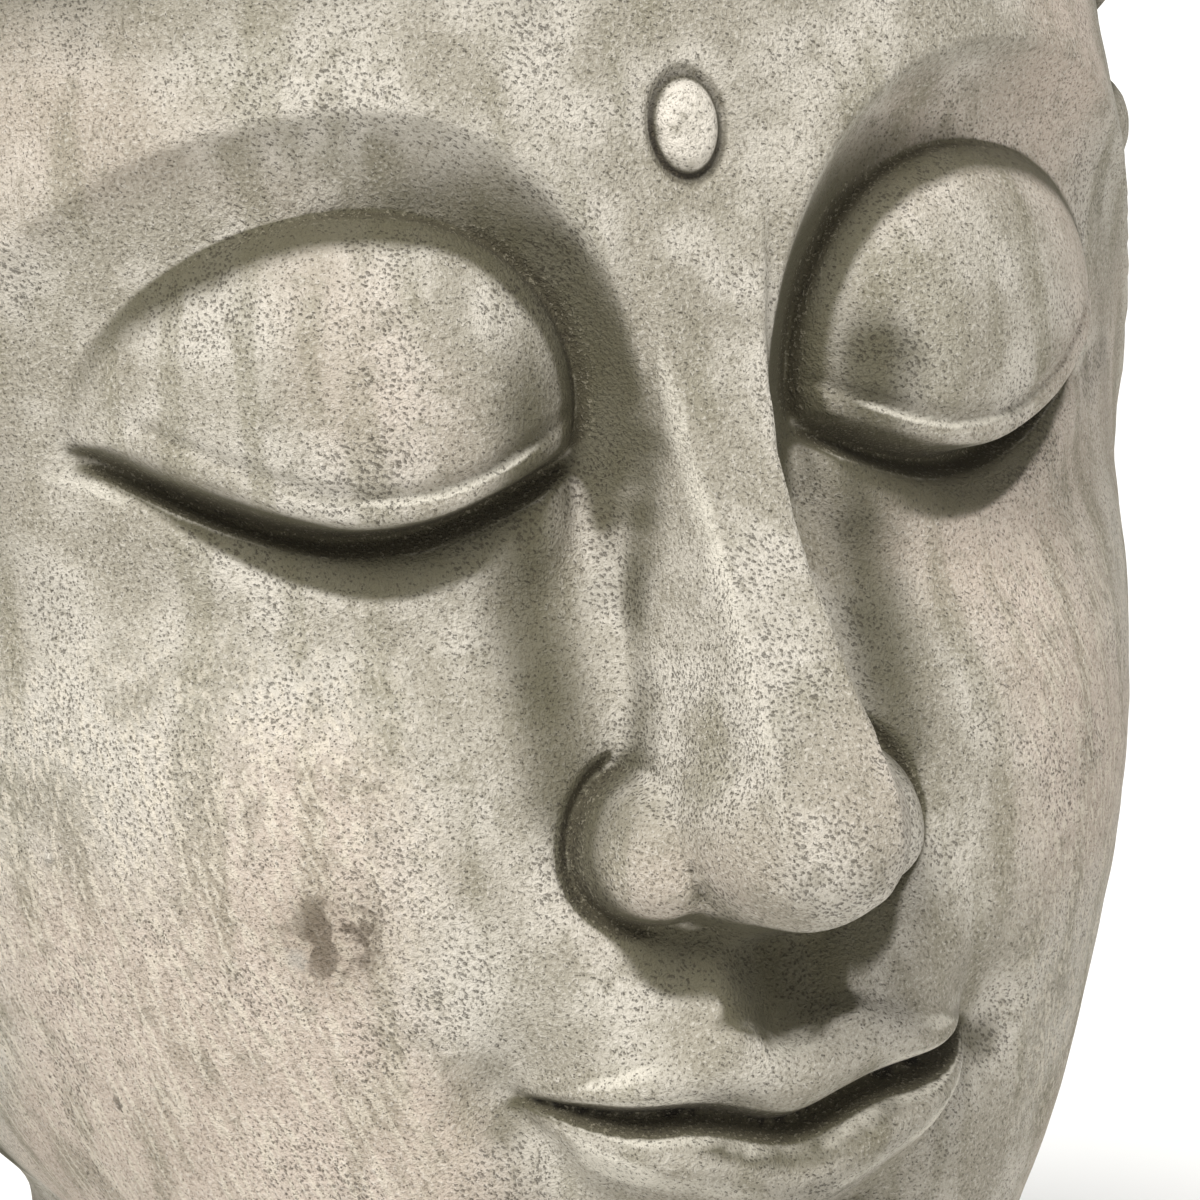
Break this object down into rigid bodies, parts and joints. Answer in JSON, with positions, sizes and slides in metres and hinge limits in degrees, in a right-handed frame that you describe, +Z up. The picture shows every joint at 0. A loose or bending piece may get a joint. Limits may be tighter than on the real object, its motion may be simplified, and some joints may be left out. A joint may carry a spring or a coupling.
{
  "type": "buddha head sculpture",
  "caption": "Cast-stone head of the Buddha with rings of hair knobs, a domed crown, long ears, closed eyes and an oval between the brows, cut flat under the neck",
  "frame": {"origin": "middle of the flat underside of the neck", "axes": "+Z up, the face looks towards -Y, +X is the side of the head's left ear"},
  "size_m": [0.2214, 0.2672, 0.3867],
  "materials": {
    "cast_stone": "matte"
  },
  "bodies": {
    "root": {"buddha_head": "cast_stone"}
  },
  "joints": []
}
